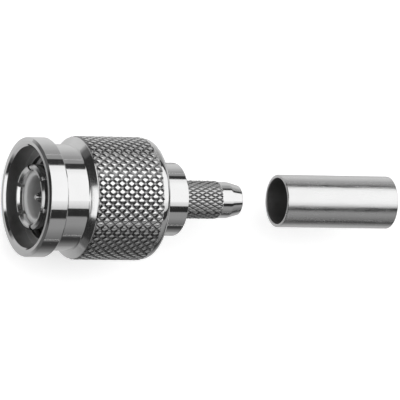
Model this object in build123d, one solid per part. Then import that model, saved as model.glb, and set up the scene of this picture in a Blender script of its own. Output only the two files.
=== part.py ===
from build123d import *
from math import cos, pi, radians, sin, tan
import os

# A coaxial cable plug with a threaded coupling nut, and its loose crimp ferrule.
# The axis of the plug is +X. The origin is on the axis, in the plane of the nut's mouth.
# The mating face looks along -X, the cable leaves along +X, and +Z is up.

# Coupling nut, outside
nut_length = 16.25
nut_collar_diameter = 14.5
nut_collar_length = 2.5
nut_collar_chamfer = 0.18
nut_rim_chamfer = 0.15
nut_neck_diameter = 12.9
nut_neck_end = 5.55
nut_grip_diameter = 15.0
nut_grip_start = 6.3
nut_knurl_length = 8.87
nut_knurl_depth = 0.3
nut_knurl_starts = 45
nut_knurl_rows = 14
nut_runout_drop = 0.12
nut_rear_round = 0.9
nut_rear_bevels = 3

# Coupling nut, inside
nut_mouth_diameter = 12.3
nut_mouth_chamfer = 0.4
nut_mouth_depth = 2.25
nut_thread_diameter = 10.2
nut_thread_chamfer = 0.1
nut_rear_chamfer = 0.15

# Outer spring contact
sleeve_front = 0.5
sleeve_diameter = 7.96
sleeve_bore = 6.5
sleeve_tip_outer_chamfer = 0.25
sleeve_tip_inner_chamfer = 0.35
sleeve_slots = 6
sleeve_slot_width = 0.5
sleeve_slot_depth = 4.7
sleeve_slot_turn = -5.0
sleeve_foot_diameter = 8.3
sleeve_foot_gap = 0.25

# Insulator
insulator_recess = 0.75
insulator_bore = 5.2
insulator_bore_depth = 5.3
insulator_rear_well_depth = 0.9

# Centre contact
pin_diameter = 1.37
pin_root_diameter = 1.8
pin_tip_diameter = 0.68
pin_taper_length = 0.75
pin_shoulder_diameter = 2.1
pin_barrel_diameter = 2.0
pin_barrel_length = 3.6
pin_solder_bore = 0.95
pin_solder_depth = 3.2
pin_inspection_hole = 0.55
pin_inspection_setback = 2.4
pin_edge = 0.08

# Body
body_seat = 6.3
body_flange_diameter = 9.9
body_flange_length = 2.55
body_socket_depth = 2.1
body_groove_diameter = 8.0
body_collar_diameter = 8.86
body_collar_end = 19.87
body_edge = 0.1
body_cavity_diameter = 5.0
body_cavity_end = 14.2
body_cone_angle = 30.0

# Crimp stem
stem_diameter = 4.7
stem_knurl_depth = 0.18
stem_knurl_starts = 24
stem_knurl_rows = 10
stem_knurl_length = 5.8
stem_tip_diameter = 4.4
stem_tip_length = 1.3
stem_end_diameter = 3.6
stem_taper_length = 1.5
stem_bore = 3.1
stem_end_edge = 0.12

# Gasket and retaining ring
gasket_thickness = 0.85
gasket_radial_gap = 0.04
ring_thickness = 0.85
ring_outer_diameter = 10.7
ring_gap_angle = 30.0
ring_side_gap = 0.08
ring_seat_gap = 0.02
ring_groove_gap = 0.1

# Crimp ferrule, shown off the connector
ferrule_start = 33.95
ferrule_length = 15.1
ferrule_diameter = 6.43
ferrule_wall = 0.4
ferrule_edge_chamfer = 0.1

# Clearances between pieces
running_gap = 0.07
seat_gap = 0.01
joint_gap = 0.002

# Places and sizes that follow from the values above
groove_start = body_seat + body_flange_length
groove_end = groove_start + ring_thickness + 2 * ring_side_gap
nut_knurl_end = nut_grip_start + nut_knurl_length
sleeve_end = body_seat + body_socket_depth
insulator_front = sleeve_front + insulator_recess
insulator_end = sleeve_end
insulator_web_start = insulator_front + insulator_bore_depth
pin_seat = insulator_end - insulator_rear_well_depth
pin_front = insulator_front + pin_edge
stem_knurl_end = body_collar_end + stem_knurl_length
stem_taper_start = stem_knurl_end + stem_tip_length
stem_end = stem_taper_start + stem_taper_length


def outline(*points):
    """Straight edges through (x, radius) points."""
    return Wire([Line(here, there).edge() for here, there in zip(points, points[1:])])


def bevelled_round(x, radius, size, bevels):
    """Points that round the corner of a face looking along +X, by even bevels out to a radius."""
    points = []
    for number in range(bevels + 1):
        turn = number * pi / 2 / bevels
        points.append((x - size * (1 - cos(turn)), radius - size * (1 - sin(turn))))
    return points


def turned(*points, angle=360):
    """A solid turned about the X axis from a closed outline of (x, radius) points."""
    return Solid.revolve(Face(outline(*points, points[0])), angle, Axis.X)


def on_circle(x, radius, turn):
    return Vector(x, radius * cos(turn), radius * sin(turn))


def ring_face(x, radius, points, points_outside):
    """A flat face across the axis at x, between a circle and a closed line through the points."""
    circle = Wire([Edge.make_circle(radius, Plane(origin=(x, 0, 0), z_dir=(1, 0, 0), x_dir=(0, 1, 0)))])
    polygon = Wire.make_polygon(points)
    return Face(polygon, [circle]) if points_outside else Face(circle, [polygon])


def knurl(start, length, starts, rows, top, depth, start_land=None, end_land=None):
    """Faces of a diamond knurl round the X axis, with the points of its two end edges.

    Each diamond is a pyramid. Its corners are where two grooves cross, and rows are half a
    diamond apart along the axis. At an end with a land radius the grooves run out to that
    radius, and at an end with none the diamonds are cut straight across.
    """
    half_turn = pi / starts
    half_pitch = length / rows
    lands = {0: start_land, rows: end_land}

    def corner(row, column):
        return on_circle(start + row * half_pitch, lands.get(row) or top - depth, column * half_turn)

    faces = []
    end_points = {0: [], rows: []}
    for row in range(rows + 1):
        ends = [end for end in (-1, 1) if 0 <= row + end <= rows]
        for column in range(row % 2, 2 * starts, 2):
            peak = on_circle(start + row * half_pitch, lands.get(row) or top, column * half_turn)
            if row in end_points:
                end_points[row] += [corner(row, column - 1), peak]
            for end in ends:
                for side in (-1, 1):
                    slope = [peak, corner(row, column + side), corner(row + end, column)]
                    faces.append(Face(Wire.make_polygon(slope)))
    return faces, end_points[0], end_points[rows]


def closed_solid(shells, faces):
    """One solid bounded by the faces of the turned shells and the loose faces."""
    every = [face for shell in shells for face in shell.faces()] + faces
    return Solid(Shell(every))


def coupling_nut():
    collar = nut_collar_diameter / 2
    neck = nut_neck_diameter / 2
    grip = nut_grip_diameter / 2
    mouth = nut_mouth_diameter / 2
    thread = nut_thread_diameter / 2
    land = grip - nut_runout_drop
    groove = ring_outer_diameter / 2 + ring_groove_gap
    rear_bore = body_collar_diameter / 2 + running_gap
    knurled, front_points, rear_points = knurl(
        nut_grip_start, nut_knurl_length, nut_knurl_starts, nut_knurl_rows, grip,
        nut_knurl_depth, land, land,
    )
    edge = land * cos(pi / nut_knurl_starts) - joint_gap
    skin = outline(
        (nut_grip_start, edge),
        (nut_neck_end, neck),
        (nut_collar_length, neck),
        (nut_collar_length, collar - nut_collar_chamfer),
        (nut_collar_length - nut_collar_chamfer, collar),
        (nut_rim_chamfer, collar),
        (0, collar - nut_rim_chamfer),
        (0, mouth + nut_mouth_chamfer),
        (nut_mouth_chamfer, mouth),
        (nut_mouth_depth, mouth),
        (nut_mouth_depth, thread + nut_thread_chamfer),
        (nut_mouth_depth + nut_thread_chamfer, thread),
        (groove_start, thread),
        (groove_start, groove),
        (groove_end, groove),
        (groove_end, rear_bore),
        (nut_length - nut_rear_chamfer, rear_bore),
        (nut_length, rear_bore + nut_rear_chamfer),
        *bevelled_round(nut_length, edge, nut_rear_round, nut_rear_bevels),
        (nut_knurl_end, edge),
    )
    ends = [
        ring_face(nut_grip_start, edge, front_points, True),
        ring_face(nut_knurl_end, edge, rear_points, True),
    ]
    return closed_solid([Shell.revolve(skin, 360, Axis.X)], knurled + ends)


def connector_body():
    flange = body_flange_diameter / 2
    socket = sleeve_foot_diameter / 2 + seat_gap
    groove = body_groove_diameter / 2
    collar = body_collar_diameter / 2
    cavity = body_cavity_diameter / 2
    bore = stem_bore / 2
    cone_length = (cavity - bore) / tan(radians(body_cone_angle))
    tip = stem_tip_diameter / 2
    knurled, front_points, rear_points = knurl(
        body_collar_end, stem_knurl_length, stem_knurl_starts, stem_knurl_rows, stem_diameter / 2,
        stem_knurl_depth, None, tip,
    )
    edge = tip * cos(pi / stem_knurl_starts) - joint_gap
    skin = outline(
        (body_collar_end, collar - body_edge),
        (body_collar_end - body_edge, collar),
        (groove_end, collar),
        (groove_end, groove),
        (groove_start, groove),
        (groove_start, flange),
        (body_seat, flange),
        (body_seat, socket),
        (sleeve_end, socket),
        (sleeve_end, cavity),
        (body_cavity_end, cavity),
        (body_cavity_end + cone_length, bore),
        (stem_end - stem_end_edge, bore),
        (stem_end, bore + stem_end_edge),
        (stem_end, stem_end_diameter / 2 - stem_end_edge),
        (stem_end - stem_end_edge, stem_end_diameter / 2),
        (stem_taper_start, edge),
        (stem_knurl_end, edge),
    )
    ends = [
        ring_face(body_collar_end, collar - body_edge, front_points, False),
        ring_face(stem_knurl_end, edge, rear_points, True),
    ]
    return closed_solid([Shell.revolve(skin, 360, Axis.X)], knurled + ends)


def outer_contact():
    outside = sleeve_diameter / 2
    inside = sleeve_bore / 2
    foot = sleeve_foot_diameter / 2
    foot_start = sleeve_front + sleeve_slot_depth + sleeve_foot_gap
    sleeve = turned(
        (sleeve_front, inside + sleeve_tip_inner_chamfer),
        (sleeve_front, outside - sleeve_tip_outer_chamfer),
        (sleeve_front + sleeve_tip_outer_chamfer, outside),
        (foot_start, outside),
        (foot_start, foot),
        (sleeve_end, foot),
        (sleeve_end, inside),
        (sleeve_front + sleeve_tip_inner_chamfer, inside),
    )
    slot = Box(
        sleeve_slot_depth, sleeve_diameter, sleeve_slot_width,
        align=(Align.MIN, Align.MIN, Align.CENTER),
    )
    step = 360 / sleeve_slots
    for number in range(sleeve_slots):
        turn = sleeve_slot_turn + number * step
        sleeve -= Rot(X=turn) * Pos(sleeve_front, 0, 0) * slot
    return sleeve


def insulator():
    outside = sleeve_bore / 2 - seat_gap
    bore = insulator_bore / 2
    pin_hole = pin_root_diameter / 2 + seat_gap
    shoulder = pin_shoulder_diameter / 2 + seat_gap
    return turned(
        (insulator_front, bore),
        (insulator_front, outside),
        (insulator_end, outside),
        (insulator_end, shoulder),
        (pin_seat, shoulder),
        (pin_seat, pin_hole),
        (insulator_web_start, pin_hole),
        (insulator_web_start, bore),
    )


def centre_contact():
    shank = pin_diameter / 2
    root = pin_root_diameter / 2
    tip = pin_tip_diameter / 2
    shoulder = pin_shoulder_diameter / 2
    barrel = pin_barrel_diameter / 2
    wire_hole = pin_solder_bore / 2
    barrel_end = insulator_end + pin_barrel_length
    pin = turned(
        (pin_front, 0),
        (pin_front, tip - pin_edge),
        (pin_front + pin_edge, tip),
        (pin_front + pin_taper_length, shank),
        (insulator_web_start, shank),
        (insulator_web_start, root),
        (pin_seat, root),
        (pin_seat, shoulder),
        (insulator_end, shoulder),
        (insulator_end, barrel),
        (barrel_end - pin_edge, barrel),
        (barrel_end, barrel - pin_edge),
        (barrel_end, wire_hole),
        (barrel_end - pin_solder_depth, wire_hole),
        (barrel_end - pin_solder_depth, 0),
    )
    drill = Cylinder(
        pin_inspection_hole / 2, pin_barrel_diameter, align=(Align.CENTER, Align.CENTER, Align.MIN)
    )
    return pin - Pos(barrel_end - pin_inspection_setback, 0, 0) * drill


def gasket():
    inside = sleeve_foot_diameter / 2 + gasket_radial_gap
    outside = nut_thread_diameter / 2 - running_gap - gasket_radial_gap
    front = body_seat - gasket_thickness
    return turned((front, inside), (front, outside), (body_seat, outside), (body_seat, inside))


def retaining_ring():
    inside = body_groove_diameter / 2 + ring_seat_gap
    outside = ring_outer_diameter / 2
    start = groove_start + ring_side_gap
    end = start + ring_thickness
    ring = turned((start, inside), (start, outside), (end, outside), (end, inside), angle=360 - ring_gap_angle)
    gap_at_top = Rot(X=90 + ring_gap_angle / 2)
    return gap_at_top * ring


def crimp_ferrule():
    outside = ferrule_diameter / 2
    inside = outside - ferrule_wall
    edge = ferrule_edge_chamfer
    end = ferrule_start + ferrule_length
    return turned(
        (ferrule_start, inside),
        (ferrule_start, outside - edge),
        (ferrule_start + edge, outside),
        (end - edge, outside),
        (end, outside - edge),
        (end, inside),
    )


pieces = {
    "coupling_nut": coupling_nut(),
    "connector_body": connector_body(),
    "outer_contact": outer_contact(),
    "insulator": insulator(),
    "centre_contact": centre_contact(),
    "gasket": gasket(),
    "retaining_ring": retaining_ring(),
    "crimp_ferrule": crimp_ferrule(),
}

os.makedirs("parts", exist_ok=True)
for name, shape in pieces.items():
    export_step(shape, f"parts/{name}.step")
    print(name, "valid", shape.is_valid, "volume", round(shape.volume, 2))
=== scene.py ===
from math import asin, ceil, cos, pi, radians, sin, tan

import bmesh
import bpy
from mathutils import Matrix, Vector


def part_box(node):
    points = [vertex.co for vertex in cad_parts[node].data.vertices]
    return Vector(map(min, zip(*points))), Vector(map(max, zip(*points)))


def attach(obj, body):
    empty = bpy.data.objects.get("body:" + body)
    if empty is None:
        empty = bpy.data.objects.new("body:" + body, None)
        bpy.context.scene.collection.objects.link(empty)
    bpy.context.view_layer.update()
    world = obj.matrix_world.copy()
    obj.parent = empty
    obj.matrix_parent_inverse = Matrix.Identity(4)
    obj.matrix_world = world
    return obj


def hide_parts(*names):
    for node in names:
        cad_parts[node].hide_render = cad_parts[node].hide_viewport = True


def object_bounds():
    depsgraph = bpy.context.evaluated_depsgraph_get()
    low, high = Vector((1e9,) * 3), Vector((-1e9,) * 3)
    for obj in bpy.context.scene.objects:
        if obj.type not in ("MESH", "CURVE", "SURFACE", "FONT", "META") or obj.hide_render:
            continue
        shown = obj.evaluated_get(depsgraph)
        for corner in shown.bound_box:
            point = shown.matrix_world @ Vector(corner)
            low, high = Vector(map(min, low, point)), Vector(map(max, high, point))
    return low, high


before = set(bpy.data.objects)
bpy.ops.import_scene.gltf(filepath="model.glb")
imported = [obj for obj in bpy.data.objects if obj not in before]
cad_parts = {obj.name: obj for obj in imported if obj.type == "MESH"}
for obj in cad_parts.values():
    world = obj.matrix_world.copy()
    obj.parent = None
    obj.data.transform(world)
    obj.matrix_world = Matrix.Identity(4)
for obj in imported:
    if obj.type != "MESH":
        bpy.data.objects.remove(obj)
cad_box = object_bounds()

# Lengths are in millimetres, as on a drawing, and this turns them into metres.
MM = 0.001

# Coupling nut
NUT_COLLAR_DIAMETER = 14.5
NUT_COLLAR_LENGTH = 2.5
NUT_COLLAR_BEVEL = 0.22
NUT_RIM_BEVEL_LENGTH = 0.145
NUT_RIM_BEVEL_WIDTH = 0.42
NUT_NECK_DIAMETER = 12.9
NUT_NECK_END = 5.55
NUT_NECK_ROUND = 0.3
NUT_GRIP_DIAMETER = 15.0
NUT_GRIP_START = 6.3
NUT_LAND_DROP = 0.12
NUT_KNURL_LENGTH = 8.87
NUT_KNURL_STARTS = 45
NUT_KNURL_ROWS = 14
NUT_KNURL_DEPTH = 0.12
NUT_KNURL_GROOVE = 0.23
NUT_KNURL_CROWN = 0.08
NUT_REAR_ROUND = 0.9
NUT_REAR_BORE = 9.0
NUT_MOUTH_DIAMETER = 12.3
NUT_MOUTH_BEVEL = 0.28
NUT_MOUTH_DEPTH = 2.25
NUT_GROOVE_START = 8.85
NUT_GROOVE_END = 9.86
NUT_GROOVE_DIAMETER = 10.9
THREAD_MINOR = 10.2
THREAD_MAJOR = 11.11
THREAD_PITCH = 25.4 / 28
THREAD_LEAD_IN = 0.25
THREAD_RELIEF = 0.4

# Outer contact
SLEEVE_DIAMETER = 7.96
SLEEVE_BORE = 6.5
SLEEVE_SLOTS = 6
SLEEVE_SLOT_WIDTH = 0.5
SLEEVE_SLOT_DEPTH = 4.7
SLEEVE_SLOT_TURN = radians(-5)
SLEEVE_FOOT_DIAMETER = 8.3
SLEEVE_FOOT_GAP = 0.25
SLEEVE_TIP_OUTER_BEVEL = 0.25
SLEEVE_TIP_INNER_BEVEL = 0.28

# Insulator
INSULATOR_DIAMETER = 6.48
INSULATOR_BORE = 5.2
INSULATOR_BORE_DEPTH = 5.3
INSULATOR_PIN_HOLE = 1.82
INSULATOR_WELL_DIAMETER = 2.12
INSULATOR_WELL_DEPTH = 0.9
INSULATOR_EDGE = 0.1
INSULATOR_BORE_ROUND = 0.35
# How far into the insulator's cup its painted shade deepens
INSULATOR_DEEP = 1.0

# Centre contact
# The pin's nose, up to this diameter, gets a painted highlight
PIN_NOSE_DIAMETER = 0.8

# Body and crimp stem
BODY_FLANGE_DIAMETER = 9.9
BODY_SOCKET_DIAMETER = 8.32
BODY_SOCKET_DEPTH = 2.1
BODY_GROOVE_DIAMETER = 8.0
BODY_COLLAR_DIAMETER = 8.86
BODY_COLLAR_END = 19.87
BODY_CAVITY_DIAMETER = 5.0
BODY_CAVITY_END = 14.2
BODY_CONE_ANGLE = radians(30)
STEM_DIAMETER = 4.7
STEM_KNURL_LENGTH = 5.8
STEM_KNURL_STARTS = 24
STEM_KNURL_ROWS = 10
STEM_KNURL_DEPTH = 0.14
STEM_KNURL_GROOVE = 0.2
STEM_KNURL_CROWN = 0.45
STEM_TIP_DIAMETER = 4.4
STEM_TIP_LENGTH = 1.3
STEM_TIP_ROUND = 1.0
STEM_END_DIAMETER = 3.6
STEM_BORE = 3.1

# Ferrule
FERRULE_WALL = 0.4
FERRULE_EDGE = 0.12

# Small edges, and how near to each other points are welded
EDGE = 0.08
FINE_EDGE = 0.04
WELD = 0.0005

# A knurl fades out at its ends. From groove to groove, its points lie on these lines.
KNURL_FADE = 0.12
KNURL_HOLD = 0.06
KNURL_SAMPLES = (0.0, 0.15, 0.2, 0.23, 0.5, 0.77, 0.8, 0.85)

# One turn of a thread, as shares of its pitch and of its height
THREAD_PROFILE = ((0.0, 0.0), (0.25, 0.0), (0.56, 1.0), (0.69, 1.0))

# How finely round things are drawn
ROUNDING_STEPS = 5
FINE_ROUNDING_STEPS = 2
FINGER_STEPS = 16
TUBE_STEPS = 240
SHARP_ANGLE = radians(40)

# How much of a straight side a rounding may take, and where the points that hold it flat lie
ROUNDING_SHARE = 0.45
END_SHARE = 0.85
HOLDING_SHARE = 0.1

# The camera looks down on the plug through a long lens and leans towards its mating end.
PHOTO_PIXELS = 400
SENSOR_WIDTH = 36.0
FOCAL_PIXELS = 9848.0
CAMERA_DISTANCE = 1200.0
CAMERA_LEAN = radians(26.1)
CAMERA_ROLL = radians(0.9)
CAMERA_AIM_X = 23.49
CAMERA_AIM_DROP = 0.04
CAMERA_REACH = 20000.0

# Studio. The softbox spans these angles round the plug's axis, from straight up towards +Y.
STUDIO_RADIUS = 1000.0
STUDIO_FRONT = -7500.0
STUDIO_REAR = 2050.0
SOFTBOX_ANGLES = (radians(-6), radians(52))
SOFTBOX_FRONT = -5000.0
SOFTBOX_REAR = 2050.0
SOFTBOX_LEVEL = 1.1
BACKING_ANGLES = (-8, 7, 23, 39, 54)
BACKING_RADIUS = 1250.0
BACKING_LEVEL = 0.08
WORLD_LEVEL = 0.45
FLOOR_TONE = 0.8
FLOOR_GLOW = 0.52
FLOOR_SIZE = 6000.0
CARD_GAP = 0.1
# How light the reflectors on either side of the softbox are, by angle
FAR_SIDE_LEVELS = ((52, 1.15), (64, 1.05), (66, 0.04), (78, 0.04), (80, 0.34), (90, 0.36))
NEAR_SIDE_LEVELS = (
    (-90, 0.17), (-80, 0.22), (-70, 0.28), (-60, 0.33), (-43, 0.34), (-41, 0.03),
    (-24, 0.03), (-22.5, 0.72), (-14, 0.9), (-6, 1.1),
)
# How light the reflector on the floor is, by distance to the far side of the axis. Its dark band on the
# near side is painted shadow of the plug.
FLOOR_LEVELS = (
    (1000, 0.36), (75, 0.39), (31, 0.52), (19, 0.66), (12, 0.72), (8, 0.62), (0, 0.55), (-8, 0.5),
    (-14, 0.42), (-19, 0.25), (-30, 0.12), (-45, 0.05), (-150, 0.05), (-200, 0.17), (-1000, 0.17),
)
# A black flag stands before the nut. Above the plug's axis it has a white strip in its middle.
FLAG_X = -22.0
FLAG_TOP = 200.0
FLAG_STRIP_BOTTOM = 0.0
FLAG_HALF_WIDTH = 300
FLAG_LEVEL = 0.03
FLAG_STRIP_LEVELS = (
    (-FLAG_HALF_WIDTH, FLAG_LEVEL), (-13, FLAG_LEVEL), (-11, 1.2), (6, 1.2), (8, FLAG_LEVEL),
    (FLAG_HALF_WIDTH, FLAG_LEVEL),
)
# Black paper lies on the floor before the nut, and gets lighter towards it.
PAPER_LEVELS = ((-5.0, 0.45), (-9.0, 0.12), (STUDIO_FRONT, 0.05))
# How light the card behind the plug is, by distance to the far side of the axis
REAR_LEVELS = ((-1000, 0.5), (-600, 0.5), (-350, 0.03), (350, 0.03), (600, 0.5), (1000, 0.5))
# A black strip on the floor under the crimp stem is painted shadow of the stem in reflections, and fades at
# both ends.
STRIP_LEVELS = ((19.0, 0.5), (22.5, 0.04), (27.0, 0.04), (29.0, 0.5))
STRIP_HALF_WIDTH = 7.0

# Tones from 0 for black to 1 for white
NICKEL_TONE = 0.78
# Painted light on the knurls: the nut's flat tops are a painted highlight, the stem's flat tops painted
# shade, and both knurls' grooves painted shade
NUT_KNURL_HIGHLIGHT_TONE = 0.86
NUT_KNURL_GROOVE_SHADE_TONE = 0.32
STEM_KNURL_SHADE_TONE = 0.6
STEM_KNURL_GROOVE_SHADE_TONE = 0.2
# Painted shade: the inside of the nut and of the ferrule are darker than their outside
NUT_INSIDE_SHADE_TONE = 0.48
FERRULE_INSIDE_SHADE_TONE = 0.35
CONTACT_TONE = 0.55
# Painted highlight on the outer contact's inner edge
CONTACT_EDGE_HIGHLIGHT_TONE = 0.8
# Painted shade makes the pin dark, and a painted highlight makes its nose lighter
PIN_SHADE_TONE = 0.18
PIN_NOSE_HIGHLIGHT_TONE = 0.6
# Painted shade: the white insulator is grey, and darker deeper in its cup
INSULATOR_SHADE_TONE = 0.58
INSULATOR_DEEP_SHADE_SHARE = 0.62
RUBBER_TONE = 0.03
BRONZE_TONE = 0.5

# Roughness of the surfaces, and what the dull inside and the brushed shoulder add to it
NICKEL_ROUGHNESS = 0.07
CONTACT_ROUGHNESS = 0.14
FERRULE_ROUGHNESS = 0.2
PIN_ROUGHNESS = 0.22
BRONZE_ROUGHNESS = 0.3
INSULATOR_ROUGHNESS = 0.45
RUBBER_ROUGHNESS = 0.6
INSIDE_ROUGHNESS = 0.3
BRUSHED_ROUGHNESS = 0.06

# All noise: how fine it is, the part of its range that is used, and the height of its bumps
NOISE_DETAIL = 3.0
NOISE_ROUGHNESS = 0.55
NOISE_RANGE = (0.3, 0.7)
BUMP_HEIGHT = 0.01

# Marks and clouds in the metals: scales of noise per millimetre, then how strongly they show
TURNED_MARKS = 6.0
TURNED_MARKS_SHIFT = 0.5
DRAWN_MARKS_ALONG = 0.25
DRAWN_MARKS_ACROSS = 5.0
METAL_CLOUDS = 0.35
METAL_BLOTCH = 0.04
METAL_SPREAD = 0.3
TURNED_BUMP = 0.3
DRAWN_BUMP = 0.5
# How far below its flat tops a knurl gets its painted light and shade
KNURL_SKIN = 0.2

# Clouds in the plastics in the same way, and how far light reaches into them
PLASTIC_CLOUDS = 1.5
PLASTIC_BLOTCH = 0.06
PLASTIC_SPREAD = 0.15
PLASTIC_BUMP = 0.15
PLASTIC_LIGHT_DEPTH = 0.4
INSULATOR_TRANSMITS = 0.5


def low_high(node):
    """A node's lowest and highest corner in millimetres."""
    low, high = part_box(node)
    return low / MM, high / MM


def rounded(*points):
    """Points along an outline of (x, radius, rounding) corners. The first and last stay as they are.

    Each rounding gets a neighbour on both straight sides, which keeps flats flat in smooth shading.
    """
    result = [points[0][:2]]
    last = len(points) - 3
    for number, (before, here, after) in enumerate(zip(points, points[1:], points[2:])):
        corner, rounding = Vector(here[:2]), here[2]
        back, on = Vector(before[:2]) - corner, Vector(after[:2]) - corner
        half_turn = (pi - back.angle(on)) / 2
        reach = min(
            rounding * tan(half_turn),
            back.length * (END_SHARE if number == 0 else ROUNDING_SHARE),
            on.length * (END_SHARE if number == last else ROUNDING_SHARE),
        )
        start, end = corner + back.normalized() * reach, corner + on.normalized() * reach
        bisector = (back.normalized() + on.normalized()).normalized()
        centre = corner + bisector * (reach / sin(half_turn))
        spoke = start - centre
        swing = spoke.angle_signed(end - centre)
        steps = ROUNDING_STEPS if rounding > EDGE else FINE_ROUNDING_STEPS
        result.append(start + (start - corner) * HOLDING_SHARE)
        for step in range(steps + 1):
            result.append(centre + Matrix.Rotation(-swing * step / steps, 2) @ spoke)
        result.append(end + (end - corner) * HOLDING_SHARE)
    result.append(points[-1][:2])
    return [(point[0], point[1]) for point in result]


class Shape:
    """Collects points round the X axis, in millimetres, and the faces between them."""

    def __init__(self):
        self.points = []
        self.faces = []

    def point(self, x, radius, angle):
        self.points.append((x * MM, radius * cos(angle) * MM, radius * sin(angle) * MM))
        return len(self.points) - 1

    def turn(self, outline, angles):
        """Turns an open outline of (x, radius) points round the axis."""
        rings = [[self.point(x, radius, angle) for angle in angles] for x, radius in outline]
        for one, two in zip(rings, rings[1:]):
            for here in range(len(angles)):
                after = (here + 1) % len(angles)
                self.faces.append((one[here], one[after], two[after], two[here]))

    def build(self, name, body, node, material):
        """The welded object, which stands for a node of the frame."""
        mesh = bpy.data.meshes.new(name)
        mesh.from_pydata(self.points, [], self.faces)
        work = bmesh.new()
        work.from_mesh(mesh)
        bmesh.ops.remove_doubles(work, verts=work.verts, dist=WELD * MM)
        bmesh.ops.recalc_face_normals(work, faces=work.faces)
        work.to_mesh(mesh)
        work.free()
        mesh.shade_smooth()
        mesh.set_sharp_from_angle(angle=SHARP_ANGLE)
        mesh.materials.append(material)
        piece = bpy.data.objects.new(name, mesh)
        bpy.context.scene.collection.objects.link(piece)
        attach(piece, body)
        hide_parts(node)


def even_angles(count):
    return [2 * pi * step / count for step in range(count)]


def sample_place(index):
    """Where a knurl's sample line lies, counted in grooves. The samples are closer at a groove."""
    count = len(KNURL_SAMPLES)
    return index // count + KNURL_SAMPLES[index % count]


def knurl_angles(starts):
    return [(2 * sample_place(index) - 1) * pi / starts for index in range(starts * len(KNURL_SAMPLES))]


def groove_cut(place, width, crown):
    """How deep a V groove is, from 0 to 1, at a place counted in grooves. The diamonds are crowned."""
    off = abs(place - round(place))
    if off < width:
        return 1 - (1 - crown) * off / width
    return crown * (0.5 - off) / (0.5 - width)


def add_knurl(shape, start, length, starts, rows, top, depth, width, crown, land):
    """A diamond knurl whose points lie along its two crossing sets of grooves.

    It fades out to the land radius at both ends.
    """
    count = len(KNURL_SAMPLES)
    columns = starts * count
    last_row = rows * count
    ids = {}
    for row in range(last_row + 1):
        for column in range(columns):
            u, v = sample_place(column), sample_place(row + count - column)
            along = (u + v - 1) * length / rows
            fade = min(along / KNURL_FADE, (length - along) / KNURL_FADE, 1.0)
            cut = depth * max(groove_cut(u, width, crown), groove_cut(v, width, crown))
            radius = land + (top - land - cut) * fade
            ids[row, column] = shape.point(start + along, radius, (u - v) * pi / starts)
    for row in range(-1, last_row):
        for column in range(columns):
            after = (column + 1) % columns
            corners = (row, column), (row + 1, after), (row + 2, after), (row + 1, column)
            shape.faces.append([ids[corner] for corner in corners if 0 <= corner[0] <= last_row])


def add_thread(shape, start, end, minor, major, pitch, angles):
    """A right-hand inside thread between two rings of the minor radius."""
    samples = len(THREAD_PROFILE)
    lines = samples * (ceil((end - start) / pitch) + 1) + 1
    columns = []
    for angle in [*angles, angles[0] + 2 * pi]:
        column = []
        for line in range(lines):
            phase, height = THREAD_PROFILE[line % samples]
            x = start + (line // samples + phase - 1 + (angle - angles[0]) / (2 * pi)) * pitch
            x = min(max(x, start), end)
            fade = min((x - start) / pitch, (end - x) / pitch, 1.0)
            column.append(shape.point(x, minor + (major - minor) * height * fade, angle))
        columns.append(column)
    for one, two in zip(columns, columns[1:]):
        for line in range(lines - 1):
            shape.faces.append((one[line], two[line], two[line + 1], one[line + 1]))


def coupling_nut(material):
    low, high = low_high("coupling_nut")
    rear = high.x
    collar, neck, grip = NUT_COLLAR_DIAMETER / 2, NUT_NECK_DIAMETER / 2, NUT_GRIP_DIAMETER / 2
    mouth, bore, groove = NUT_MOUTH_DIAMETER / 2, NUT_REAR_BORE / 2, NUT_GROOVE_DIAMETER / 2
    minor, major = THREAD_MINOR / 2, THREAD_MAJOR / 2
    land = grip - NUT_LAND_DROP
    knurl_end = NUT_GRIP_START + NUT_KNURL_LENGTH
    thread_start = NUT_MOUTH_DEPTH + THREAD_LEAD_IN
    thread_end = NUT_GROOVE_START - THREAD_RELIEF
    angles = knurl_angles(NUT_KNURL_STARTS)
    shape = Shape()
    shape.turn(rounded(
        (NUT_GRIP_START, land),
        (NUT_GRIP_START - 2 * FINE_EDGE, land, FINE_EDGE),
        (NUT_NECK_END, neck, NUT_NECK_ROUND),
        (NUT_COLLAR_LENGTH, neck, EDGE),
        (NUT_COLLAR_LENGTH, collar - NUT_COLLAR_BEVEL, FINE_EDGE),
        (NUT_COLLAR_LENGTH - NUT_COLLAR_BEVEL, collar, FINE_EDGE),
        (low.x + NUT_RIM_BEVEL_LENGTH, collar, FINE_EDGE),
        (low.x, collar - NUT_RIM_BEVEL_WIDTH, FINE_EDGE),
        (low.x, mouth + NUT_MOUTH_BEVEL, FINE_EDGE),
        (low.x + NUT_MOUTH_BEVEL, mouth, FINE_EDGE),
        (NUT_MOUTH_DEPTH, mouth, EDGE),
        (NUT_MOUTH_DEPTH, minor, EDGE),
        (thread_start, minor),
    ), angles)
    add_thread(shape, thread_start, thread_end, minor, major, THREAD_PITCH, angles)
    shape.turn(rounded(
        (thread_end, minor),
        (NUT_GROOVE_START, minor, FINE_EDGE),
        (NUT_GROOVE_START, groove, FINE_EDGE),
        (NUT_GROOVE_END, groove, FINE_EDGE),
        (NUT_GROOVE_END, bore, FINE_EDGE),
        (rear, bore, 2 * EDGE),
        (rear, land, NUT_REAR_ROUND),
        (knurl_end + KNURL_HOLD, land),
    ) + [(knurl_end, land)], angles)
    add_knurl(
        shape, NUT_GRIP_START, NUT_KNURL_LENGTH, NUT_KNURL_STARTS, NUT_KNURL_ROWS, grip,
        NUT_KNURL_DEPTH, NUT_KNURL_GROOVE, NUT_KNURL_CROWN, land,
    )
    shape.build("knurled_coupling_nut", "nut", "coupling_nut", material)


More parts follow.
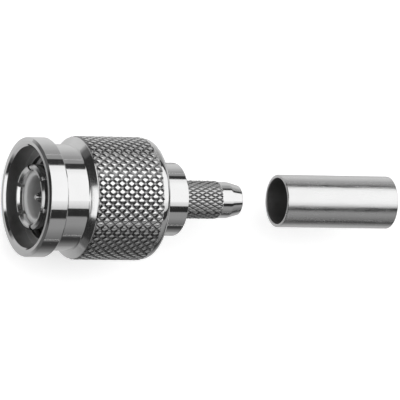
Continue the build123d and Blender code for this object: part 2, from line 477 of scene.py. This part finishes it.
def connector_body(material):
    low, high = low_high("connector_body")
    seat, end = low.x, high.x
    flange, socket, groove = BODY_FLANGE_DIAMETER / 2, BODY_SOCKET_DIAMETER / 2, BODY_GROOVE_DIAMETER / 2
    collar, cavity, bore = BODY_COLLAR_DIAMETER / 2, BODY_CAVITY_DIAMETER / 2, STEM_BORE / 2
    tip, tip_end = STEM_TIP_DIAMETER / 2, STEM_END_DIAMETER / 2
    socket_end = seat + BODY_SOCKET_DEPTH
    cone_end = BODY_CAVITY_END + (cavity - bore) / tan(BODY_CONE_ANGLE)
    knurl_end = BODY_COLLAR_END + STEM_KNURL_LENGTH
    angles = knurl_angles(STEM_KNURL_STARTS)
    shape = Shape()
    add_knurl(
        shape, BODY_COLLAR_END, STEM_KNURL_LENGTH, STEM_KNURL_STARTS, STEM_KNURL_ROWS,
        STEM_DIAMETER / 2, STEM_KNURL_DEPTH, STEM_KNURL_GROOVE, STEM_KNURL_CROWN, tip,
    )
    shape.turn(rounded(
        (BODY_COLLAR_END, tip),
        (BODY_COLLAR_END, collar, EDGE),
        (NUT_GROOVE_END, collar, FINE_EDGE),
        (NUT_GROOVE_END, groove, FINE_EDGE),
        (NUT_GROOVE_START, groove, FINE_EDGE),
        (NUT_GROOVE_START, flange, EDGE),
        (seat, flange, EDGE),
        (seat, socket, FINE_EDGE),
        (socket_end, socket, FINE_EDGE),
        (socket_end, cavity, FINE_EDGE),
        (BODY_CAVITY_END, cavity, FINE_EDGE),
        (cone_end, bore, EDGE),
        (end, bore, EDGE),
        (end, tip_end, EDGE),
        (knurl_end + STEM_TIP_LENGTH, tip, STEM_TIP_ROUND),
        (knurl_end + KNURL_HOLD, tip),
    ) + [(knurl_end, tip)], angles)
    shape.build("knurled_stem_body", "plug", "connector_body", material)


def outer_contact(material):
    """A sleeve whose front is cut into spring fingers by slots with parallel walls."""
    low, high = low_high("outer_contact")
    front, end = low.x, high.x
    outside, inside, foot = SLEEVE_DIAMETER / 2, SLEEVE_BORE / 2, SLEEVE_FOOT_DIAMETER / 2
    slot_end = front + SLEEVE_SLOT_DEPTH
    foot_start = slot_end + SLEEVE_FOOT_GAP
    fingers = rounded(
        (slot_end, outside),
        (front + SLEEVE_TIP_OUTER_BEVEL, outside, FINE_EDGE),
        (front, outside - SLEEVE_TIP_OUTER_BEVEL, FINE_EDGE),
        (front, inside + SLEEVE_TIP_INNER_BEVEL, FINE_EDGE),
        (front + SLEEVE_TIP_INNER_BEVEL, inside, FINE_EDGE),
        (slot_end, inside),
    )
    root = rounded(
        (slot_end, inside),
        (end, inside, FINE_EDGE),
        (end, foot, FINE_EDGE),
        (foot_start, foot, FINE_EDGE),
        (foot_start, outside, FINE_EDGE),
        (slot_end, outside),
    )
    shape = Shape()

    def ring(x, radius):
        """Points from slot wall to slot wall, finger by finger."""
        wall = asin(SLEEVE_SLOT_WIDTH / 2 / radius)
        pitch = 2 * pi / SLEEVE_SLOTS
        points = []
        for finger in range(SLEEVE_SLOTS):
            for step in range(FINGER_STEPS + 1):
                share = step / FINGER_STEPS
                angle = SLEEVE_SLOT_TURN + finger * pitch + wall + share * (pitch - 2 * wall)
                points.append(shape.point(x, radius, angle))
        return points

    finger_rings = [ring(x, radius) for x, radius in fingers]
    root_rings = [ring(x, radius) for x, radius in root]
    count = len(finger_rings[0])
    for rings, slotted in ((finger_rings, True), (root_rings, False)):
        for one, two in zip(rings, rings[1:]):
            for here in range(count):
                if slotted and here % (FINGER_STEPS + 1) == FINGER_STEPS:
                    continue
                after = (here + 1) % count
                shape.faces.append((one[here], one[after], two[after], two[here]))
    for finger in range(SLEEVE_SLOTS):
        first = finger * (FINGER_STEPS + 1)
        last = first + FINGER_STEPS
        after = (last + 1) % count
        shape.faces.append([points[first] for points in finger_rings])
        shape.faces.append([points[last] for points in finger_rings])
        outer, inner = finger_rings[0], finger_rings[-1]
        shape.faces.append((outer[last], outer[after], inner[after], inner[last]))
    shape.build("slotted_outer_contact", "plug", "outer_contact", material)


def insulator(material):
    low, high = low_high("insulator")
    outside, bore = INSULATOR_DIAMETER / 2, INSULATOR_BORE / 2
    hole, well = INSULATOR_PIN_HOLE / 2, INSULATOR_WELL_DIAMETER / 2
    web = low.x + INSULATOR_BORE_DEPTH
    middle = ((low.x + high.x) / 2, outside)
    shape = Shape()
    shape.turn(rounded(
        middle,
        (low.x, outside, INSULATOR_EDGE),
        (low.x, bore, INSULATOR_BORE_ROUND),
        (web, bore, 2 * EDGE),
        (web, hole, EDGE),
        (high.x - INSULATOR_WELL_DEPTH, hole, FINE_EDGE),
        (high.x - INSULATOR_WELL_DEPTH, well, FINE_EDGE),
        (high.x, well, FINE_EDGE),
        (high.x, outside, FINE_EDGE),
        middle,
    ), even_angles(TUBE_STEPS))
    shape.build("cupped_insulator", "plug", "insulator", material)


def crimp_ferrule(material):
    low, high = low_high("crimp_ferrule")
    outside = (high.z - low.z) / 2
    inside = outside - FERRULE_WALL
    middle = ((low.x + high.x) / 2, outside)
    shape = Shape()
    shape.turn(rounded(
        middle,
        (low.x, outside, FERRULE_EDGE),
        (low.x, inside, FERRULE_EDGE),
        (high.x, inside, FERRULE_EDGE),
        (high.x, outside, FERRULE_EDGE),
        middle,
    ), even_angles(TUBE_STEPS))
    shape.build("drawn_crimp_ferrule", "ferrule", "crimp_ferrule", material)


class Nodes:
    """A node tree, with short words for its nodes."""

    def __init__(self, tree):
        self.tree = tree

    def node(self, kind, settings=(), **inputs):
        """A new node. Its inputs go by name, or by number, as in at0."""
        node = self.tree.nodes.new(kind)
        for name, value in dict(settings).items():
            setattr(node, name, value)
        for name, value in inputs.items():
            key = int(name[2:]) if name.startswith("at") else name
            self.set(node.inputs[key], value)
        return node

    def set(self, socket, value):
        if isinstance(value, bpy.types.NodeSocket):
            self.tree.links.new(value, socket)
        else:
            socket.default_value = value

    def math(self, operation, one, two=0.0, three=0.0):
        settings = {"operation": operation}
        return self.node("ShaderNodeMath", settings, at0=one, at1=two, at2=three).outputs[0]

    def map_range(self, value, start, end, before, after):
        ends = {"at1": start, "at2": end, "at3": before, "at4": after}
        return self.node("ShaderNodeMapRange", Value=value, **ends).outputs[0]

    def background_rays(self):
        """1 for rays that see the background as it is: from the camera, reflected or passed through."""
        path = self.node("ShaderNodeLightPath").outputs
        seen = self.math("MAXIMUM", path["Is Camera Ray"], path["Is Glossy Ray"])
        return self.math("MAXIMUM", seen, path["Is Transmission Ray"])


class Look(Nodes):
    """The node tree of a new material."""

    def __init__(self, name):
        self.material = bpy.data.materials.new(name)
        self.material.use_nodes = True
        super().__init__(self.material.node_tree)
        self.shader = self.tree.nodes["Principled BSDF"]

    def place(self):
        """The point in the piece's own frame, which the pieces share, split into x, y and z."""
        place = self.node("ShaderNodeTexCoord").outputs["Object"]
        return self.node("ShaderNodeSeparateXYZ", Vector=place).outputs

    def noise(self, x, y, z):
        vector = self.node("ShaderNodeCombineXYZ", X=x, Y=y, Z=z).outputs[0]
        noise = self.node(
            "ShaderNodeTexNoise", Vector=vector, Scale=1.0, Detail=NOISE_DETAIL, Roughness=NOISE_ROUGHNESS,
        )
        return noise.outputs["Fac"]

    def scaled_noise(self, place, scales):
        """Noise at a place, with a scale per millimetre along each of the three axes."""
        scaled = [self.math("MULTIPLY", value, scale / MM) for value, scale in zip(place, scales)]
        return self.noise(*scaled)

    def stretch(self, value, low, high):
        """Turns noise, which stays near one half, into a number between two limits."""
        return self.map_range(value, *NOISE_RANGE, low, high)

    def ramp(self, value, start, end, before, after):
        """A number that changes evenly between a start and an end in millimetres."""
        return self.map_range(value, start * MM, end * MM, before, after)

    def between(self, value, start, end):
        """1 between a start and an end in millimetres, and 0 elsewhere."""
        after_start = self.math("GREATER_THAN", value, start * MM)
        before_end = self.math("LESS_THAN", value, end * MM)
        return self.math("MULTIPLY", after_start, before_end)

    def set_input(self, name, value):
        self.set(self.shader.inputs[name], value)

    def set_tone(self, tone):
        colour = self.node("ShaderNodeCombineColor", Red=tone, Green=tone, Blue=tone)
        self.set_input("Base Color", colour.outputs[0])

    def set_bump(self, height, strength):
        bump = self.node("ShaderNodeBump", Strength=strength, Distance=BUMP_HEIGHT * MM, Height=height)
        self.set_input("Normal", bump.outputs[0])


def grey(tone):
    return (tone, tone, tone, 1.0)


def knurl_painted_light_and_shade(look, x, radius, tone, knurl):
    """What a tone is multiplied by to paint light and shade on a knurl: a painted highlight or shade on its
    flat tops, and painted shade in its grooves.
    """
    start, end, rim, rim_painted_tone, groove_shade_tone = knurl
    shade = look.ramp(radius, rim - FINE_EDGE / 2, rim, groove_shade_tone / tone, rim_painted_tone / tone)
    on_skin = look.math("GREATER_THAN", radius, (rim - KNURL_SKIN) * MM)
    knurled = look.math("MULTIPLY", look.between(x, start, end), on_skin)
    plain = look.math("SUBTRACT", 1.0, knurled)
    return look.math("ADD", look.math("MULTIPLY", shade, knurled), plain)


def metal(name, tone, roughness, drawn=False, knurl=None, inside=None, painted_highlight=None, brushed=None):
    """Plated metal, with fine marks from turning or, if it is drawn, along the axis.

    A knurl is (start, end, radius of its flat tops, their tone, the grooves' tone), the knurl's painted
    light and shade. Within an inside of (radius, tone) the metal is duller and darker by painted shade, and
    within a painted_highlight of (radius, tone) it is lighter by a painted highlight. From one place to
    another along the axis it may be brushed.
    """
    look = Look(name)
    place = look.place()
    x, y, z = place
    squares = [look.math("MULTIPLY", value, value) for value in (y, z)]
    radius = look.math("SQRT", look.math("ADD", *squares))
    if drawn:
        marks = look.scaled_noise(place, (DRAWN_MARKS_ALONG, DRAWN_MARKS_ACROSS, DRAWN_MARKS_ACROSS))
    else:
        along = look.math("MULTIPLY_ADD", x, TURNED_MARKS / MM, TURNED_MARKS_SHIFT)
        marks = look.noise(along, look.math("MULTIPLY", radius, TURNED_MARKS / MM), 0.0)
    cloud = look.scaled_noise(place, [METAL_CLOUDS] * 3)

    tint = look.stretch(cloud, tone * (1 - METAL_BLOTCH), tone)
    # Painted light and shade on the knurls' tops and grooves
    if knurl:
        tint = look.math("MULTIPLY", tint, knurl_painted_light_and_shade(look, x, radius, tone, knurl))
    # Painted shade inside the nut and the ferrule, and painted highlights on the outer contact's inner edge
    # and the pin's nose
    for within in (inside, painted_highlight):
        if within:
            limit, inner_tone = within
            shade = look.ramp(radius, limit + WELD, limit + FINE_EDGE, inner_tone / tone, 1.0)
            tint = look.math("MULTIPLY", tint, shade)
    look.set_tone(tint)

    sheen = look.stretch(marks, roughness * (1 - METAL_SPREAD), roughness * (1 + METAL_SPREAD))
    rough = look.math("ADD", sheen, look.stretch(cloud, 0.0, roughness * METAL_SPREAD))
    if inside:
        limit = inside[0]
        dull = look.ramp(radius, limit + WELD, limit + FINE_EDGE, INSIDE_ROUGHNESS, 0.0)
        rough = look.math("ADD", rough, dull)
    if brushed:
        rough = look.math("ADD", rough, look.math("MULTIPLY", look.between(x, *brushed), BRUSHED_ROUGHNESS))
    look.set_input("Roughness", rough)
    look.set_input("Metallic", 1.0)
    look.set_bump(marks, DRAWN_BUMP if drawn else TURNED_BUMP)
    return look.material


def plastic(name, tone, roughness, transmits=0.0, deep=None):
    """A plastic that lets light in. Along a deep of (start, end, share) its tone falls to the share, as
    painted shade deeper in a recess.
    """
    look = Look(name)
    place = look.place()
    cloud = look.scaled_noise(place, [PLASTIC_CLOUDS] * 3)
    tint = look.stretch(cloud, tone * (1 - PLASTIC_BLOTCH), tone)
    if deep:
        start, end, share = deep
        tint = look.math("MULTIPLY", tint, look.ramp(place["X"], start, end, 1.0, share))
    look.set_tone(tint)
    look.set_input("Roughness", look.stretch(
        cloud, roughness * (1 - PLASTIC_SPREAD), roughness * (1 + PLASTIC_SPREAD),
    ))
    look.set_input("Subsurface Weight", transmits)
    look.set_input("Subsurface Scale", PLASTIC_LIGHT_DEPTH * MM)
    look.set_input("Subsurface Radius", (1.0, 1.0, 1.0))
    look.set_bump(cloud, PLASTIC_BUMP)
    return look.material


def glowing(name, tone):
    """The look of a sheet that doesn't gleam. How brightly it glows is set afterwards."""
    look = Look(name)
    look.set_input("Base Color", grey(tone))
    look.set_input("Specular IOR Level", 0.0)
    look.set_input("Emission Color", grey(1.0))
    return look


def sheet(name, corners, faces, material):
    """A sheet of the studio, which stands round the plug and isn't a piece of it."""
    mesh = bpy.data.meshes.new(name)
    mesh.from_pydata([tuple(Vector(corner) * MM) for corner in corners], [], faces)
    mesh.materials.append(material)
    piece = bpy.data.objects.new(name, mesh)
    bpy.context.scene.collection.objects.link(piece)
    return piece


def floor(ground):
    look = glowing("pale_floor", FLOOR_TONE)
    look.set_input("Roughness", 1.0)
    look.set_input("Emission Strength", look.math("MULTIPLY", look.background_rays(), FLOOR_GLOW))
    half = FLOOR_SIZE / 2
    corners = [(-half, -half, ground), (half, -half, ground), (half, half, ground), (-half, half, ground)]
    sheet("floor", corners, [(0, 1, 2, 3)], look.material)


def reflector(name, rungs):
    """A card that only shows in reflections, so it neither lights the plug nor hides the lamp.

    Its rungs are (one end, other end, how light it is there), and its light is even between rungs.
    """
    corners = [end for rung in rungs for end in rung[:2]]
    levels = [rung[2] for rung in rungs for end in rung[:2]]
    faces = [(at, at + 1, at + 3, at + 2) for at in range(0, len(corners) - 2, 2)]
    look = glowing(name, 0.0)
    level = look.node("ShaderNodeAttribute", {"attribute_name": "level"})
    look.set_input("Emission Strength", level.outputs["Fac"])
    card = sheet(name, corners, faces, look.material)
    card.data.attributes.new("level", "FLOAT", "POINT").data.foreach_set("value", levels)
    card.visible_camera = False
    card.visible_diffuse = False
    card.visible_transmission = False
    card.visible_shadow = False


def arched_reflector(name, radius, levels):
    """A reflector as long as the studio, bent round the plug through (angle, level) stations."""
    rungs = []
    for angle, level in levels:
        y, z = radius * sin(radians(angle)), radius * cos(radians(angle))
        rungs.append(((STUDIO_FRONT, y, z), (STUDIO_REAR, y, z), level))
    reflector(name, rungs)


def reflectors(ground):
    """All the reflectors. Those on the floor lie a little above it, one on another."""
    low, high = ground + CARD_GAP, ground + 2 * CARD_GAP
    backing = [(angle, BACKING_LEVEL) for angle in BACKING_ANGLES]
    arched_reflector("far_side_reflector", STUDIO_RADIUS, FAR_SIDE_LEVELS)
    arched_reflector("near_side_reflector", STUDIO_RADIUS, NEAR_SIDE_LEVELS)
    reflector("floor_reflector", [
        ((STUDIO_FRONT, y, low), (STUDIO_REAR, y, low), level) for y, level in FLOOR_LEVELS
    ])
    reflector("rear_reflector", [
        ((STUDIO_REAR, y, ground), (STUDIO_REAR, y, STUDIO_RADIUS), level) for y, level in REAR_LEVELS
    ])
    reflector("front_flag", [
        ((FLAG_X, y, FLAG_STRIP_BOTTOM), (FLAG_X, y, FLAG_TOP), level) for y, level in FLAG_STRIP_LEVELS
    ])
    reflector("front_flag_foot", [
        ((FLAG_X, y, ground), (FLAG_X, y, FLAG_STRIP_BOTTOM), FLAG_LEVEL)
        for y in (-FLAG_HALF_WIDTH, FLAG_HALF_WIDTH)
    ])
    reflector("front_paper", [
        ((x, -STUDIO_RADIUS, high), (x, STUDIO_RADIUS, high), level) for x, level in PAPER_LEVELS
    ])
    reflector("stem_shadow_strip", [
        ((x, -STRIP_HALF_WIDTH, high), (x, STRIP_HALF_WIDTH, high), level) for x, level in STRIP_LEVELS
    ])
    arched_reflector("softbox_backing", BACKING_RADIUS, backing)


def softbox():
    """A large lamp over the plug, which is equally light all over."""
    low, high = SOFTBOX_ANGLES
    lamp = bpy.data.lights.new("softbox", "AREA")
    lamp.shape = "RECTANGLE"
    lamp.size = (SOFTBOX_REAR - SOFTBOX_FRONT) * MM
    lamp.size_y = 2 * STUDIO_RADIUS * tan((high - low) / 2) * MM
    lamp.energy = SOFTBOX_LEVEL * pi * lamp.size * lamp.size_y
    box = bpy.data.objects.new("softbox", lamp)
    above = Vector(((SOFTBOX_FRONT + SOFTBOX_REAR) / 2, 0, STUDIO_RADIUS)) * MM
    box.matrix_world = Matrix.Rotation(-(low + high) / 2, 4, "X") @ Matrix.Translation(above)
    box.visible_camera = False
    bpy.context.scene.collection.objects.link(box)


def surroundings():
    """Even light from all sides, and a white background."""
    world = bpy.data.worlds.new("studio")
    world.use_nodes = True
    bpy.context.scene.world = world
    nodes = Nodes(world.node_tree)
    background = world.node_tree.nodes["Background"]
    level = nodes.map_range(nodes.background_rays(), 0.0, 1.0, WORLD_LEVEL, 1.0)
    nodes.set(background.inputs["Color"], grey(1.0))
    nodes.set(background.inputs["Strength"], level)


def studio():
    ground = cad_box[0].z / MM
    floor(ground)
    reflectors(ground)
    softbox()
    surroundings()


def camera():
    data = bpy.data.cameras.new("camera")
    data.sensor_fit = "HORIZONTAL"
    data.sensor_width = SENSOR_WIDTH
    data.lens = FOCAL_PIXELS / PHOTO_PIXELS * SENSOR_WIDTH
    data.clip_end = CAMERA_REACH * MM
    right = Vector((cos(CAMERA_LEAN), 0, sin(CAMERA_LEAN)))
    up = Vector((0, 1, 0))
    back = right.cross(up)
    rolled_right = right * cos(CAMERA_ROLL) + up * sin(CAMERA_ROLL)
    rolled_up = up * cos(CAMERA_ROLL) - right * sin(CAMERA_ROLL)
    aim = Vector((CAMERA_AIM_X, 0, 0)) - rolled_up * CAMERA_AIM_DROP
    place = (aim + back * CAMERA_DISTANCE) * MM
    turn = Matrix((rolled_right, rolled_up, back)).transposed().to_4x4()
    eye = bpy.data.objects.new("camera", data)
    eye.matrix_world = Matrix.Translation(place) @ turn
    bpy.context.scene.collection.objects.link(eye)
    bpy.context.scene.camera = eye


def dress(node, material):
    """Gives a node of the frame, whose shape is right, its material."""
    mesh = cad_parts[node].data
    mesh.materials.clear()
    mesh.materials.append(material)
    mesh.shade_smooth()
    mesh.set_sharp_from_angle(angle=SHARP_ANGLE)


# Where painted light and shade change the tone of the metals and the insulator, and where the nut's
# shoulder is brushed
nut_knurl_painted_light = (
    NUT_GRIP_START,
    NUT_GRIP_START + NUT_KNURL_LENGTH - KNURL_FADE,
    NUT_GRIP_DIAMETER / 2 - NUT_KNURL_DEPTH * NUT_KNURL_CROWN - WELD,
    NUT_KNURL_HIGHLIGHT_TONE,
    NUT_KNURL_GROOVE_SHADE_TONE,
)
stem_knurl_painted_light = (
    BODY_COLLAR_END,
    BODY_COLLAR_END + STEM_KNURL_LENGTH - KNURL_FADE,
    STEM_DIAMETER / 2 - STEM_KNURL_DEPTH * STEM_KNURL_CROWN,
    STEM_KNURL_SHADE_TONE,
    STEM_KNURL_GROOVE_SHADE_TONE,
)
nut_inside_shade = (NUT_MOUTH_DIAMETER / 2, NUT_INSIDE_SHADE_TONE)
nut_shoulder = (NUT_NECK_END - EDGE, NUT_GRIP_START)
contact_edge_highlight = (SLEEVE_BORE / 2 + SLEEVE_TIP_INNER_BEVEL, CONTACT_EDGE_HIGHLIGHT_TONE)
pin_nose_highlight = (PIN_NOSE_DIAMETER / 2, PIN_NOSE_HIGHLIGHT_TONE)
ferrule_inside_shade = (low_high("crimp_ferrule")[1].z - FERRULE_WALL, FERRULE_INSIDE_SHADE_TONE)
insulator_front = low_high("insulator")[0].x
insulator_deep_shade = (insulator_front + EDGE, insulator_front + INSULATOR_DEEP, INSULATOR_DEEP_SHADE_SHARE)

coupling_nut(metal(
    "nut_nickel", NICKEL_TONE, NICKEL_ROUGHNESS, knurl=nut_knurl_painted_light, inside=nut_inside_shade, brushed=nut_shoulder,
))
connector_body(metal("body_nickel", NICKEL_TONE, NICKEL_ROUGHNESS, knurl=stem_knurl_painted_light))
outer_contact(metal("contact_nickel", CONTACT_TONE, CONTACT_ROUGHNESS, painted_highlight=contact_edge_highlight))
crimp_ferrule(metal("ferrule_nickel", NICKEL_TONE, FERRULE_ROUGHNESS, drawn=True, inside=ferrule_inside_shade))
insulator(plastic(
    "insulator_plastic", INSULATOR_SHADE_TONE, INSULATOR_ROUGHNESS, transmits=INSULATOR_TRANSMITS,
    deep=insulator_deep_shade,
))
dress("centre_contact", metal("pin_plating", PIN_SHADE_TONE, PIN_ROUGHNESS, painted_highlight=pin_nose_highlight))
dress("gasket", plastic("gasket_rubber", RUBBER_TONE, RUBBER_ROUGHNESS))
dress("retaining_ring", metal("ring_bronze", BRONZE_TONE, BRONZE_ROUGHNESS))
studio()
camera()
bpy.context.scene.view_settings.view_transform = "Standard"
